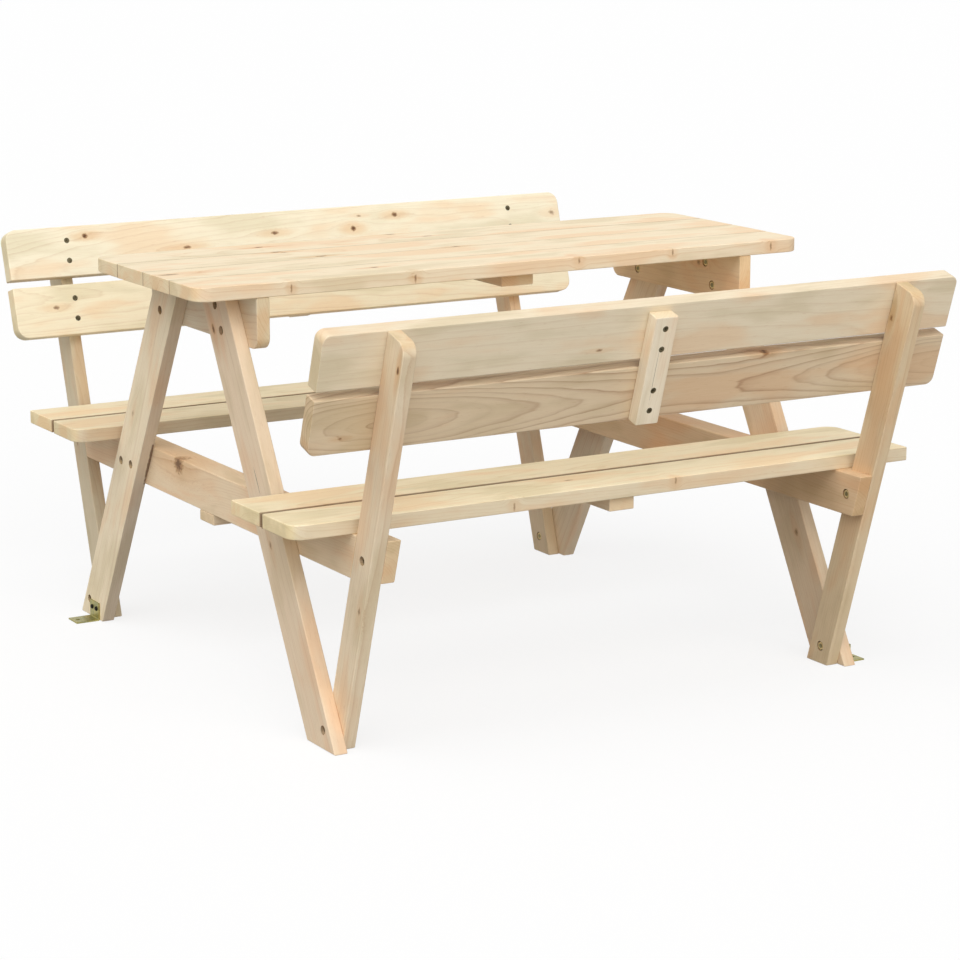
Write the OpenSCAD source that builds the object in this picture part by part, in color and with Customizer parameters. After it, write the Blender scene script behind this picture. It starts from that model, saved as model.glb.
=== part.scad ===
// Picnic table for children: a table top and two benches with backrests, bolted to two end frames.
// X runs along the table, Y across it and Z up. The origin is on the floor under the table's middle.
// The far bench is at +Y and the near bench at -Y, the right end at +X and the left end at -X.

/* [Table top] */
// Length of the table top
top_len = 900; // [700:5:1200]
// Height of the top surface above the floor
top_h = 536; // [480:1:620]
// Width of one table board
top_board_w = 79; // [65:0.5:100]
// Gap between two table boards
top_gap = 0.8; // [0.5:0.1:8]
// Thickness of the boards of the table top and the seats
plank_t = 18; // [15:0.5:24]
// Radius of the table top's corners
top_corner_r = 22; // [4:1:40]
// Height of the crossbars under the table top
crossbar_h = 65; // [55:1:80]
// Distance of a crossbar's end from the table's long edge
crossbar_inset = 1.7; // [0:0.1:12]
// Radius of a crossbar's lower corners
crossbar_corner_r = 15; // [3:1:20]

/* [Legs] */
// Thickness of the legs, posts, crossbars, cleats and battens
frame_t = 18; // [15:0.5:24]
// Distance of the legs' outer face from the table's end
leg_inset = 63; // [40:1:90]
// Width of a leg
leg_w = 64; // [50:1:75]
// Lean of a leg from upright, in degrees
leg_lean = 29; // [22:0.5:32]
// Distance of a leg's centre line from the table's middle, at the underside of the top
leg_top_y = 63.5; // [45:0.5:70]

/* [Benches] */
// Height of the seats' top surface above the floor
seat_h = 291; // [260:1:320]
// Distance of a seat's end from the line of the table's end
seat_end_inset = 2; // [0:0.5:55]
// Width of one seat board
seat_board_w = 78.5; // [65:0.5:95]
// Gap between the two boards of a seat
seat_gap = 6.5; // [2:0.5:12]
// Radius of the one rounded corner of each seat board
seat_corner_r = 20; // [4:1:35]
// Gap between a seat's inner edge and the leg beside it
seat_leg_gap = 4.6; // [2:0.2:15]
// Gap between a seat's outer edge and the post beside it
seat_post_gap = 9.2; // [3:0.2:20]
// Height of the seat bearers
bearer_h = 55; // [45:1:70]
// Thickness of a seat bearer, which is notched at its ends for the posts
bearer_t = 36; // [32:0.5:50]

/* [Backrests] */
// Width of a back post
post_w = 42; // [34:1:55]
// Distance at the floor from a leg's inner edge to the post's inner edge
post_step = 13; // [5:0.5:20]
// Distance of a backrest's end from the line of the table's end
back_end_inset = 0; // [0:0.5:40]
// Width of one backrest slat
back_slat_w = 71; // [60:0.5:85]
// Thickness of a backrest slat
back_slat_t = 21; // [15:0.5:26]
// Gap between the two slats of a backrest
back_gap = 11; // [4:0.5:30]
// Distance along the post from the seat's height to the lower slat
back_rise = 94.5; // [60:0.5:130]
// Radius of the near backrest's corners
near_back_corner_r = 11; // [4:1:30]
// Radius of the far backrest's corners
far_back_corner_r = 16; // [4:1:30]
// Distance of a post's top below the upper slat's edge
post_top_drop = 0.5; // [0:0.5:10]
// Radius of the outer corner at a post's top
post_top_r = 16; // [4:1:25]
// Width of the upright cleat behind a backrest's middle
cleat_w = 32; // [24:1:60]
// Distance of a cleat's lower end above the lower slat's edge
cleat_foot = 1; // [0:0.5:20]
// Distance of a cleat's upper end below the upper slat's edge
cleat_drop = 8.5; // [0:0.5:20]

/* [Battens and stretcher] */
// Width of the batten under the table's middle
top_batten_w = 48; // [30:1:70]
// Distance of the table batten's centre line from the table's middle
top_batten_x = 19; // [-60:1:60]
// Distance of the table batten's end from the table's long edge
top_batten_inset = 29; // [10:1:33]
// Width of the batten under a seat's middle
seat_batten_w = 36; // [26:1:60]
// Distance of a seat batten's centre line from the table's middle
seat_batten_x = 12; // [-60:1:60]
// Distance of a seat batten's end from the seat's edge
seat_batten_inset = 10; // [4:0.5:12]
// Width of the stretcher board under the bearers
stretcher_w = 42; // [34:1:80]
// Thickness of the stretcher board
stretcher_t = 14; // [12:0.5:18]

/* [Bolts] */
// Diameter of a bolt's shank
bolt_d = 6; // [5:0.5:7]
// Diameter of a bolt's round head
bolt_head_d = 10.5; // [9.5:0.1:11.5]
// Height of a bolt's round head
bolt_head_h = 4; // [3:0.1:5]
// Width across the flats of a bolt head's socket
bolt_socket = 4; // [3:0.1:5]
// Diameter of the counterbore over a bolt head
head_bore_d = 11.5; // [11.5:0.1:14]
// Depth of the counterbore over a bolt head
head_bore_depth = 8; // [5.5:0.1:9]
// Width across the flats of a nut
nut_flats = 10; // [9:0.1:10.5]
// Height of a nut
nut_h = 4.6; // [4:0.1:5]
// Diameter of a washer
washer_d = 12.4; // [11.5:0.1:12.6]
// Thickness of a washer
washer_t = 1.2; // [0.8:0.1:1.6]
// Diameter of the recess round a nut and its washer
nut_bore_d = 13; // [13:0.1:15]
// Depth of the recess round a nut and its washer
nut_bore_depth = 6.5; // [6.5:0.1:8]
// Height of the foot bolts above the floor
foot_bolt_z = 24; // [16:0.5:32]
// Spacing of the two bolts that join a leg to a bearer
bearer_bolt_pitch = 32; // [24:1:38]
// Distance of a leg's lower top bolt below the underside of the top
top_bolt_low = 48; // [44:0.5:48]
// Distance of a leg's upper top bolt below the underside of the top
top_bolt_high = 18; // [12:0.5:24]
// Distance of a leg's bolts from its centre line, outward
leg_bolt_out = 2; // [-4:0.5:6]

/* [Screws] */
// Diameter of a wood screw's shank
screw_d = 4; // [3:0.1:4.5]
// Diameter of a wood screw's countersunk head
screw_head_d = 7.8; // [7:0.1:8.6]
// Depth of a wood screw's head below the board's surface
screw_sink = 0.5; // [0.2:0.1:1]
// Length of the long wood screws
screw_long = 45; // [40:0.5:46]
// Length of the short wood screws
screw_short = 30; // [25:0.5:30]
// Diameter of the deep bore that lets a screw in from below
deep_bore_d = 9; // [8.8:0.1:10]
// Length of bearer or crossbar that a screw from below passes through
deep_grip = 29; // [26:0.5:30]
// Spacing of the two screws that hold a table board on a crossbar
top_screw_pitch = 26; // [20:1:28]
// Spacing of the two screws that hold a seat board on a bearer or a batten
seat_screw_pitch = 40; // [30:1:44]
// Spacing of the two screws that hold the stretcher on a bearer
stretcher_screw_pitch = 22; // [16:1:24]
// Spacing of the two screws that hold a backrest slat on a post
back_screw_pitch = 28.5; // [20:0.5:36]
// Distance of the backrest screws above the slat's centre line
back_screw_up = 1.2; // [-3:0.1:3]
// Spacing of the two screws that hold a cleat on a slat
cleat_screw_pitch = 27; // [20:0.5:32]
// Distance of the cleat screws below the slat's centre line
cleat_screw_down = 2; // [-1:0.1:3]

/* [Ground anchors] */
// Width of a ground anchor
anchor_w = 30; // [26:1:34]
// Thickness of a ground anchor's plate
anchor_t = 2; // [1.5:0.1:3]
// Height of a ground anchor's upright leaf
anchor_h = 25; // [23:0.5:30]
// Length of the far anchor's floor leaf
anchor_far_len = 35; // [24:1:50]
// Length of the near anchor's floor leaf
anchor_near_len = 25; // [20:1:50]
// Distance of the far anchor from the leg's outer corner at the floor
anchor_far_in = 36; // [15:1:40]
// Distance of the near anchor from the leg's outer corner at the floor
anchor_near_in = 14; // [14:1:40]
// Height of an anchor's screws above the floor
anchor_screw_z = 16; // [12:0.5:18]
// Spacing of an anchor's two screws
anchor_screw_pitch = 14.4; // [12:0.1:18]
// Diameter of an anchor screw's shank
anchor_screw_d = 3.5; // [3:0.1:4]
// Diameter of an anchor screw's head
anchor_head_d = 7; // [6:0.1:8]
// Height of an anchor screw's head
anchor_head_h = 1.8; // [1.4:0.1:2.4]
// Length of an anchor screw
anchor_screw_len = 14; // [8:0.5:16]
// Diameter of the peg hole in an anchor's floor leaf
peg_hole_d = 5.5; // [4:0.1:7]
// Distance of the peg hole from the floor leaf's end
peg_hole_in = 8; // [6:0.5:9]

/* [Clearances] */
// Radial clearance of a bolt in the wood
bolt_clear = 0.25; // [0.1:0.05:0.5]
// Radial clearance of a screw in its pilot bore, and of a nut on its bolt
thread_clear = 0.05; // [0.02:0.01:0.1]
// Gap between a post and the notch that it sits in
notch_clear = 0.2; // [0.1:0.05:0.5]
// Distance of a bolt's end below the inner face
bolt_end_clear = 0.4; // [0.2:0.1:1]

/* [Hidden] */

$fn = 48;
// Overshoot that carries a cut clean through a face
cut = 1;

// Levels, from the floor up
top_under = top_h - plank_t;
crossbar_z = top_under - crossbar_h;
seat_under = seat_h - plank_t;
bearer_z = seat_under - bearer_h;
bearer_mid_z = bearer_z + bearer_h / 2;
stretcher_z = bearer_z - stretcher_t;

// Planes along the table, from the legs' outer face inward
leg_face_x = top_len / 2 - leg_inset;
post_face_x = leg_face_x - frame_t;
crossbar_in_x = post_face_x - frame_t;
bearer_in_x = post_face_x - bearer_t;
post_mid_x = post_face_x - frame_t / 2;
bearer_mid_x = post_face_x - bearer_t / 2;

// Table top, from the middle outward
top_half_w = 2 * top_board_w + 1.5 * top_gap;
crossbar_half = top_half_w - crossbar_inset;
top_batten_half = top_half_w - top_batten_inset;

// A leg's centre line and edges at a height
leg_cut_w = leg_w / cos(leg_lean);
function leg_mid_y(z) = leg_top_y + (top_under - z) * tan(leg_lean);
function leg_in_y(z) = leg_mid_y(z) - leg_cut_w / 2;
function leg_out_y(z) = leg_mid_y(z) + leg_cut_w / 2;

// Seats, between the leg and the post at the height of their underside
seat_len = top_len - 2 * seat_end_inset;
seat_in_y = leg_out_y(seat_under) + seat_leg_gap;
seat_out_y = seat_in_y + 2 * seat_board_w + seat_gap;

// A post's lean takes its foot to the leg's foot and its middle past the seat's edge
post_foot_y = leg_in_y(0) + post_step;
post_lean = atan((seat_out_y + seat_post_gap - post_foot_y) / seat_under);
post_cut_w = post_w / cos(post_lean);
function post_in_y(z) = post_foot_y + z * tan(post_lean);
function post_mid_y(z) = post_in_y(z) + post_cut_w / 2;
function post_out_y(z) = post_in_y(z) + post_cut_w;

// Backrest's length, and distances along a post from the seat's height
back_len = top_len - 2 * back_end_inset;
upper_slat_s = back_rise + back_slat_w + back_gap;
back_top_s = upper_slat_s + back_slat_w;
post_top_s = back_top_s - post_top_drop;
slat_mids_s = [back_rise + back_slat_w / 2, upper_slat_s + back_slat_w / 2];

// Middles of the boards and places of their screws, on the far side
top_board_mids = [for (i = [0, 1]) top_gap / 2 + top_board_w / 2 + i * (top_board_w + top_gap)];
seat_board_mids = [for (i = [0, 1]) seat_in_y + seat_board_w / 2 + i * (seat_board_w + seat_gap)];
top_screw_ys = [for (m = top_board_mids, d = [-1, 1]) m + d * top_screw_pitch / 2];
seat_screw_ys = [for (m = seat_board_mids, d = [-1, 1]) m + d * seat_screw_pitch / 2];
back_screw_ss = [for (m = slat_mids_s, d = [-1, 1]) m + back_screw_up + d * back_screw_pitch / 2];
cleat_screw_ss = [for (m = slat_mids_s, d = [-1, 1]) m - cleat_screw_down + d * cleat_screw_pitch / 2];

// Bolts of the far right corner, as [y, z]
top_bolt_spots = [for (d = [top_bolt_low, top_bolt_high])
    [leg_mid_y(top_under - d) + leg_bolt_out, top_under - d]];
bearer_bolt_spots = [for (d = [-1, 1])
    [leg_mid_y(bearer_mid_z) + leg_bolt_out + d * bearer_bolt_pitch / 2, bearer_mid_z]];
post_bolt_spots = [[post_mid_y(bearer_mid_z), bearer_mid_z]];
foot_bolt_spots = [[post_mid_y(foot_bolt_z), foot_bolt_z]];

// The anchors' middles across the table, from the leg's outer corner inward
anchor_far_y = leg_out_y(0) - anchor_far_in - anchor_w / 2;
anchor_near_y = leg_out_y(0) - anchor_near_in - anchor_w / 2;
anchor_bend_r = anchor_t + 1;

wood_top = [0.89, 0.80, 0.63];
wood_seat = [0.90, 0.80, 0.61];
wood_leg = [0.80, 0.69, 0.54];
wood_back = [0.85, 0.75, 0.59];
steel_dark = [0.25, 0.24, 0.22];
steel_zinc = [0.62, 0.62, 0.60];
zinc_yellow = [0.66, 0.61, 0.36];

// Puts what is drawn for the far right corner in the corner that the signs name
module corner(sx, sy) {
    mirror([sx < 0 ? 1 : 0, 0, 0]) mirror([0, sy < 0 ? 1 : 0, 0]) children();
}

// Repeats what is drawn for the far right corner in all four corners
module four_corners() {
    for (sx = [-1, 1], sy = [-1, 1]) corner(sx, sy) children();
}

// Extrudes an outline drawn in Y and Z along X, from x
module along_x(x, length) {
    translate([x, 0, 0]) rotate([90, 0, 90]) linear_extrude(length) children();
}

// Frame of a backrest on the far side: x along it, y out through the post, z up along the post
module back_frame() {
    translate([0, post_in_y(seat_h), seat_h]) rotate([-post_lean, 0, 0]) children();
}

// Plank centred on x with its lower edge on y = 0, its upper corners at the given ends rounded
module round_top_outline(length, width, r, ends = [-1, 1]) {
    difference() {
        translate([-length / 2, 0]) square([length, width]);
        for (sx = ends) {
            translate([sx * (length / 2 - r), width - r]) difference() {
                translate([sx > 0 ? 0 : -r - cut, 0]) square([r + cut, r + cut]);
                circle(r);
            }
        }
    }
}

// Flat plank with its outer corners at the given ends rounded, from y_in outward, lying on z
module round_plank(length, y_in, width, r, z, ends = [-1, 1]) {
    translate([0, y_in, z]) linear_extrude(plank_t) round_top_outline(length, width, r, ends);
}

module plain_plank(length, y_in, width, z) {
    translate([-length / 2, y_in, z]) cube([length, width, plank_t]);
}

// Bolt along X with its head's underside at x = 0 and its shank towards -x
module bolt(shank) {
    rotate([0, -90, 0]) cylinder(h = shank, d = bolt_d);
    difference() {
        rotate([0, 90, 0]) cylinder(h = bolt_head_h, d = bolt_head_d);
        translate([bolt_head_h * 0.45, 0, 0]) rotate([0, 90, 0])
            cylinder(h = bolt_head_h, d = bolt_socket / cos(30), $fn = 6);
    }
}

// The bolts, washers or nuts of one joint, between an outer face and an inner face
module bolts_of(spots, x_out, x_in) {
    four_corners() for (p = spots) translate([x_out - head_bore_depth, p[0], p[1]])
        bolt(x_out - head_bore_depth - x_in - bolt_end_clear);
}

module washers_of(spots, x_in) {
    four_corners() for (p = spots) translate([x_in + nut_bore_depth - washer_t, p[0], p[1]])
        rotate([0, 90, 0]) difference() {
            cylinder(h = washer_t, d = washer_d);
            translate([0, 0, -cut]) cylinder(h = washer_t + 2 * cut, r = bolt_d / 2 + bolt_clear);
        }
}

module nuts_of(spots, x_in) {
    four_corners() for (p = spots) translate([x_in + nut_bore_depth - washer_t - nut_h, p[0], p[1]])
        rotate([0, 90, 0]) difference() {
            cylinder(h = nut_h, d = nut_flats / cos(30), $fn = 6);
            translate([0, 0, -cut]) cylinder(h = nut_h + 2 * cut, r = bolt_d / 2 + thread_clear);
        }
}

// Bores of one joint's bolts: the shank's, the head's from the outer face and the nut's from the inner face
module bolt_bores(spots, x_out, x_in) {
    for (p = spots) translate([0, p[0], p[1]]) rotate([0, 90, 0]) {
        translate([0, 0, x_in - cut]) cylinder(h = x_out - x_in + 2 * cut, r = bolt_d / 2 + bolt_clear);
        translate([0, 0, x_out - head_bore_depth]) cylinder(h = head_bore_depth + cut, d = head_bore_d);
        translate([0, 0, x_in - cut]) cylinder(h = nut_bore_depth + cut, d = nut_bore_d);
    }
}

// All bolt bores of the far right corner
module corner_bores() {
    bolt_bores(top_bolt_spots, leg_face_x, crossbar_in_x);
    bolt_bores(bearer_bolt_spots, leg_face_x, bearer_in_x);
    bolt_bores(post_bolt_spots, post_face_x, bearer_in_x);
    bolt_bores(foot_bolt_spots, leg_face_x, crossbar_in_x);
}

// Countersunk wood screw: its head's face at z = -screw_sink, its tip towards -z
module screw(length) {
    head_h = (screw_head_d - screw_d) / 2;
    tip_h = screw_d;
    difference() {
        translate([0, 0, -screw_sink]) union() {
            translate([0, 0, -head_h]) cylinder(h = head_h, d1 = screw_d, d2 = screw_head_d);
            translate([0, 0, tip_h - length]) cylinder(h = length - tip_h - head_h, d = screw_d);
            translate([0, 0, -length]) cylinder(h = tip_h, d1 = screw_d / 5, d2 = screw_d);
        }
        cross_recess(-screw_sink);
    }
}

// Cross-shaped recess cut down from a screw head's face at z
module cross_recess(z) {
    arm = screw_head_d * 0.5;
    slot = screw_head_d * 0.13;
    depth = screw_d * 0.35;
    translate([-arm / 2, -slot / 2, z - depth]) cube([arm, slot, depth + cut]);
    translate([-slot / 2, -arm / 2, z - depth]) cube([slot, arm, depth + cut]);
}

// Bore for a wood screw, with an access bore above its head where it starts inside the wood
module screw_bore(length, access = 0) {
    head_h = (screw_head_d - screw_d) / 2;
    r = screw_d / 2 + thread_clear;
    head_r = screw_head_d / 2 + thread_clear;
    translate([0, 0, -screw_sink - length]) cylinder(h = length, r = r);
    translate([0, 0, -screw_sink - head_h]) cylinder(h = head_h, r1 = r, r2 = head_r);
    translate([0, 0, -screw_sink]) cylinder(h = screw_sink + cut, r = head_r);
    if (access > 0) cylinder(h = access + cut, d = deep_bore_d);
}

// Places of the screws, each with its head's side towards local +z
module at_table_screws() {
    for (sx = [-1, 1], sy = [-1, 1], y = top_screw_ys)
        translate([sx * post_mid_x, sy * y, top_under - deep_grip]) rotate([180, 0, 0]) children();
}

module at_seat_screws() {
    for (sx = [-1, 1], sy = [-1, 1], y = seat_screw_ys)
        translate([sx * bearer_mid_x, sy * y, seat_under - deep_grip]) rotate([180, 0, 0]) children();
}

module at_top_batten_screws() {
    for (sy = [-1, 1], y = top_board_mids)
        translate([top_batten_x, sy * y, top_under - frame_t]) rotate([180, 0, 0]) children();
}

module at_seat_batten_screws() {
    for (sy = [-1, 1], y = seat_screw_ys)
        translate([seat_batten_x, sy * y, seat_under - frame_t]) rotate([180, 0, 0]) children();
}

module at_stretcher_screws() {
    for (sx = [-1, 1], sy = [-1, 1])
        translate([sx * bearer_mid_x, sy * stretcher_screw_pitch / 2, stretcher_z])
            rotate([180, 0, 0]) children();
}

// On the far side, from the slat's front face through it into the post
module at_far_back_screws() {
    back_frame() for (sx = [-1, 1], s = back_screw_ss)
        translate([sx * post_mid_x, -back_slat_t, s]) rotate([90, 0, 0]) children();
}

// On the far side, from the cleat's back through it into the slats
module at_far_cleat_screws() {
    back_frame() for (s = cleat_screw_ss)
        translate([0, frame_t, s]) rotate([-90, 0, 0]) children();
}

module table_board(i) {
    far = i > 2;
    outer = i == 1 || i == 4;
    color(wood_top) mirror([0, far ? 0 : 1, 0]) difference() {
        if (outer) round_plank(top_len, top_half_w - top_board_w, top_board_w, top_corner_r, top_under);
        else plain_plank(top_len, top_gap / 2, top_board_w, top_under);
        at_table_screws() screw_bore(screw_long);
        at_top_batten_screws() screw_bore(screw_short);
    }
}

module table_crossbar(sx) {
    color(wood_leg) corner(sx, 1) difference() {
        along_x(crossbar_in_x, frame_t) translate([0, top_under]) mirror([0, 1])
            round_top_outline(2 * crossbar_half, crossbar_h, crossbar_corner_r);
        for (sy = [-1, 1]) corner(1, sy) corner_bores();
        at_table_screws() screw_bore(screw_long, crossbar_h - deep_grip);
    }
}

module table_batten() {
    color(wood_leg) difference() {
        translate([top_batten_x - top_batten_w / 2, -top_batten_half, top_under - frame_t])
            cube([top_batten_w, 2 * top_batten_half, frame_t]);
        at_top_batten_screws() screw_bore(screw_short);
    }
}

module leg(sx, sy) {
    color(wood_leg) corner(sx, sy) difference() {
        along_x(post_face_x, frame_t) polygon([
            [leg_in_y(0), 0],
            [leg_out_y(0), 0],
            [leg_out_y(top_under), top_under],
            [leg_in_y(top_under), top_under]
        ]);
        corner_bores();
        anchor_bores(sx, sy);
    }
}

module back_post(sx, sy) {
    color(wood_leg) corner(sx, sy) difference() {
        intersection() {
            along_x(crossbar_in_x, frame_t) translate([post_in_y(seat_h), seat_h]) rotate(-post_lean)
                post_outline();
            translate([crossbar_in_x - cut, 0, 0]) cube([frame_t + 2 * cut, top_len, top_len]);
        }
        corner_bores();
        at_far_back_screws() screw_bore(screw_long);
    }
}

// Post before its foot is cut flat, in its own frame: x out through it, y up along it
module post_outline() {
    below = seat_h / cos(post_lean) + post_w;
    difference() {
        translate([0, -below]) square([post_w, below + post_top_s]);
        translate([post_w - post_top_r, post_top_s - post_top_r]) difference() {
            square(post_top_r + cut);
            circle(post_top_r);
        }
    }
}

module seat_bearer(sx) {
    color(wood_leg) corner(sx, 1) difference() {
        union() {
            along_x(bearer_in_x, bearer_t - frame_t)
                bearer_outline(post_out_y(bearer_z), post_out_y(seat_under));
            along_x(crossbar_in_x, frame_t)
                bearer_outline(post_in_y(bearer_z) - notch_clear, post_in_y(seat_under) - notch_clear);
        }
        for (sy = [-1, 1]) corner(1, sy) corner_bores();
        at_seat_screws() screw_bore(screw_long, bearer_h - deep_grip);
        at_stretcher_screws() screw_bore(screw_long);
    }
}

// Outline of a bearer whose ends lean from low_y at its bottom to high_y at its top
module bearer_outline(low_y, high_y) {
    polygon([[-low_y, bearer_z], [low_y, bearer_z], [high_y, seat_under], [-high_y, seat_under]]);
}

module stretcher() {
    color(wood_leg) difference() {
        translate([-post_face_x, -stretcher_w / 2, stretcher_z])
            cube([2 * post_face_x, stretcher_w, stretcher_t]);
        at_stretcher_screws() screw_bore(screw_long);
    }
}

// Each seat board is rounded at one end of its free edge, and the two boards of a seat at opposite ends
module seat_board(sy, outer) {
    color(wood_seat) corner(1, sy) difference() {
        if (outer)
            round_plank(seat_len, seat_out_y - seat_board_w, seat_board_w, seat_corner_r, seat_under, [sy]);
        else translate([0, 2 * seat_in_y + seat_board_w, 0]) mirror([0, 1, 0])
            round_plank(seat_len, seat_in_y, seat_board_w, seat_corner_r, seat_under, [-sy]);
        at_seat_screws() screw_bore(screw_long);
        at_seat_batten_screws() screw_bore(screw_short);
    }
}

module seat_batten(sy) {
    from_y = seat_in_y + seat_batten_inset;
    to_y = seat_out_y - seat_batten_inset;
    color(wood_leg) corner(1, sy) difference() {
        translate([seat_batten_x - seat_batten_w / 2, from_y, seat_under - frame_t])
            cube([seat_batten_w, to_y - from_y, frame_t]);
        at_seat_batten_screws() screw_bore(screw_short);
    }
}

module back_slat(sy, upper) {
    color(wood_back) corner(1, sy) difference() {
        back_frame() translate([0, 0, upper ? upper_slat_s : back_rise + back_slat_w])
            mirror([0, 0, upper ? 0 : 1]) rotate([90, 0, 0]) linear_extrude(back_slat_t)
                round_top_outline(back_len, back_slat_w, sy < 0 ? near_back_corner_r : far_back_corner_r);
        at_far_back_screws() screw_bore(screw_long);
        at_far_cleat_screws() screw_bore(screw_short);
    }
}

module back_cleat(sy) {
    from_s = back_rise + cleat_foot;
    to_s = back_top_s - cleat_drop;
    color(wood_back) corner(1, sy) difference() {
        back_frame() translate([-cleat_w / 2, 0, from_s]) cube([cleat_w, frame_t, to_s - from_s]);
        at_far_cleat_screws() screw_bore(screw_short);
    }
}

// Angle plate in the far right corner's frame, standing against the leg's outer face
module anchor_plate(y, floor_len) {
    color(zinc_yellow) difference() {
        translate([leg_face_x, y + anchor_w / 2, 0]) rotate([90, 0, 0]) linear_extrude(anchor_w) {
            translate([0, anchor_bend_r]) square([anchor_t, anchor_h - anchor_bend_r]);
            translate([anchor_bend_r, 0]) square([floor_len - anchor_bend_r, anchor_t]);
            translate([anchor_bend_r, anchor_bend_r]) intersection() {
                difference() {
                    circle(anchor_bend_r);
                    circle(anchor_bend_r - anchor_t);
                }
                translate([-anchor_bend_r - cut, -anchor_bend_r - cut]) square(anchor_bend_r + cut);
            }
        }
        at_anchor_screws(y) translate([-cut, 0, 0]) rotate([0, 90, 0])
            cylinder(h = anchor_t + 2 * cut, r = anchor_screw_d / 2 + bolt_clear);
        translate([leg_face_x + floor_len - peg_hole_in, y, -cut])
            cylinder(h = anchor_t + 2 * cut, d = peg_hole_d);
    }
}

// Places of an anchor's screws on the leg's outer face, x outward
module at_anchor_screws(y) {
    for (d = [-1, 1]) translate([leg_face_x, y + d * anchor_screw_pitch / 2, anchor_screw_z]) children();
}

// Pilot bores of the anchor's screws in the leg that carries an anchor
module anchor_bores(sx, sy) {
    ys = sx * sy < 0 ? [sy > 0 ? anchor_far_y : anchor_near_y] : [];
    for (y = ys) at_anchor_screws(y) rotate([0, -90, 0])
        translate([0, 0, -cut]) cylinder(h = anchor_screw_len + cut, r = anchor_screw_d / 2 + thread_clear);
}

// Pan-headed screw through the anchor's plate into the leg, along -x
module anchor_screw() {
    tip_h = anchor_screw_d;
    difference() {
        union() {
            translate([anchor_t, 0, 0]) rotate([0, 90, 0])
                cylinder(h = anchor_head_h, d1 = anchor_head_d, d2 = anchor_head_d * 0.75);
            translate([tip_h - anchor_screw_len, 0, 0]) rotate([0, 90, 0])
                cylinder(h = anchor_screw_len - tip_h + anchor_t + anchor_head_h / 2, d = anchor_screw_d);
            translate([-anchor_screw_len, 0, 0]) rotate([0, 90, 0])
                cylinder(h = tip_h, d1 = anchor_screw_d / 5, d2 = anchor_screw_d);
        }
        translate([anchor_t + anchor_head_h, 0, 0]) rotate([0, 90, 0]) cross_recess(0);
    }
}

module leg_top_bolts() {
    color(steel_dark) bolts_of(top_bolt_spots, leg_face_x, crossbar_in_x);
}

module bearer_bolts() {
    color(steel_dark) bolts_of(bearer_bolt_spots, leg_face_x, bearer_in_x);
}

module post_bolts() {
    color(steel_dark) bolts_of(post_bolt_spots, post_face_x, bearer_in_x);
}

module foot_bolts() {
    color(steel_dark) bolts_of(foot_bolt_spots, leg_face_x, crossbar_in_x);
}

module bolt_washers() {
    color(steel_zinc) {
        washers_of(concat(top_bolt_spots, foot_bolt_spots), crossbar_in_x);
        washers_of(concat(bearer_bolt_spots, post_bolt_spots), bearer_in_x);
    }
}

module bolt_nuts() {
    color(steel_zinc) {
        nuts_of(concat(top_bolt_spots, foot_bolt_spots), crossbar_in_x);
        nuts_of(concat(bearer_bolt_spots, post_bolt_spots), bearer_in_x);
    }
}

module table_screws() {
    color(steel_dark) at_table_screws() screw(screw_long);
}

module seat_screws() {
    color(steel_dark) at_seat_screws() screw(screw_long);
}

module batten_screws() {
    color(steel_dark) {
        at_top_batten_screws() screw(screw_short);
        at_seat_batten_screws() screw(screw_short);
    }
}

module stretcher_screws() {
    color(steel_dark) at_stretcher_screws() screw(screw_long);
}

module backrest_screws() {
    color(steel_dark) for (sy = [-1, 1]) corner(1, sy) at_far_back_screws() screw(screw_long);
}

module cleat_screws() {
    color(steel_dark) for (sy = [-1, 1]) corner(1, sy) at_far_cleat_screws() screw(screw_short);
}

module anchor_screws() {
    color(steel_dark) {
        corner(-1, 1) at_anchor_screws(anchor_far_y) anchor_screw();
        corner(1, -1) at_anchor_screws(anchor_near_y) anchor_screw();
    }
}

module ground_anchor_far_left() {
    corner(-1, 1) anchor_plate(anchor_far_y, anchor_far_len);
}

module ground_anchor_near_right() {
    corner(1, -1) anchor_plate(anchor_near_y, anchor_near_len);
}

table_board(1);  // table_board_1
table_board(2);  // table_board_2
table_board(3);  // table_board_3
table_board(4);  // table_board_4
table_crossbar(-1);  // table_crossbar_left
table_crossbar(1);  // table_crossbar_right
table_batten();
leg(-1, -1);  // leg_near_left
leg(1, -1);  // leg_near_right
leg(-1, 1);  // leg_far_left
leg(1, 1);  // leg_far_right
back_post(-1, -1);  // back_post_near_left
back_post(1, -1);  // back_post_near_right
back_post(-1, 1);  // back_post_far_left
back_post(1, 1);  // back_post_far_right
seat_bearer(-1);  // seat_bearer_left
seat_bearer(1);  // seat_bearer_right
stretcher();
seat_board(-1, false);  // seat_near_inner
seat_board(-1, true);  // seat_near_outer
seat_board(1, false);  // seat_far_inner
seat_board(1, true);  // seat_far_outer
seat_batten(-1);  // seat_batten_near
seat_batten(1);  // seat_batten_far
back_slat(-1, false);  // backrest_near_lower
back_slat(-1, true);  // backrest_near_upper
back_slat(1, false);  // backrest_far_lower
back_slat(1, true);  // backrest_far_upper
back_cleat(-1);  // backrest_cleat_near
back_cleat(1);  // backrest_cleat_far
ground_anchor_far_left();
ground_anchor_near_right();
leg_top_bolts();
bearer_bolts();
post_bolts();
foot_bolts();
bolt_washers();
bolt_nuts();
table_screws();
seat_screws();
batten_screws();
stretcher_screws();
backrest_screws();
cleat_screws();
anchor_screws();
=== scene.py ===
from math import cos, radians, sin

import bmesh
import bpy
from mathutils import Matrix, Vector


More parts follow.
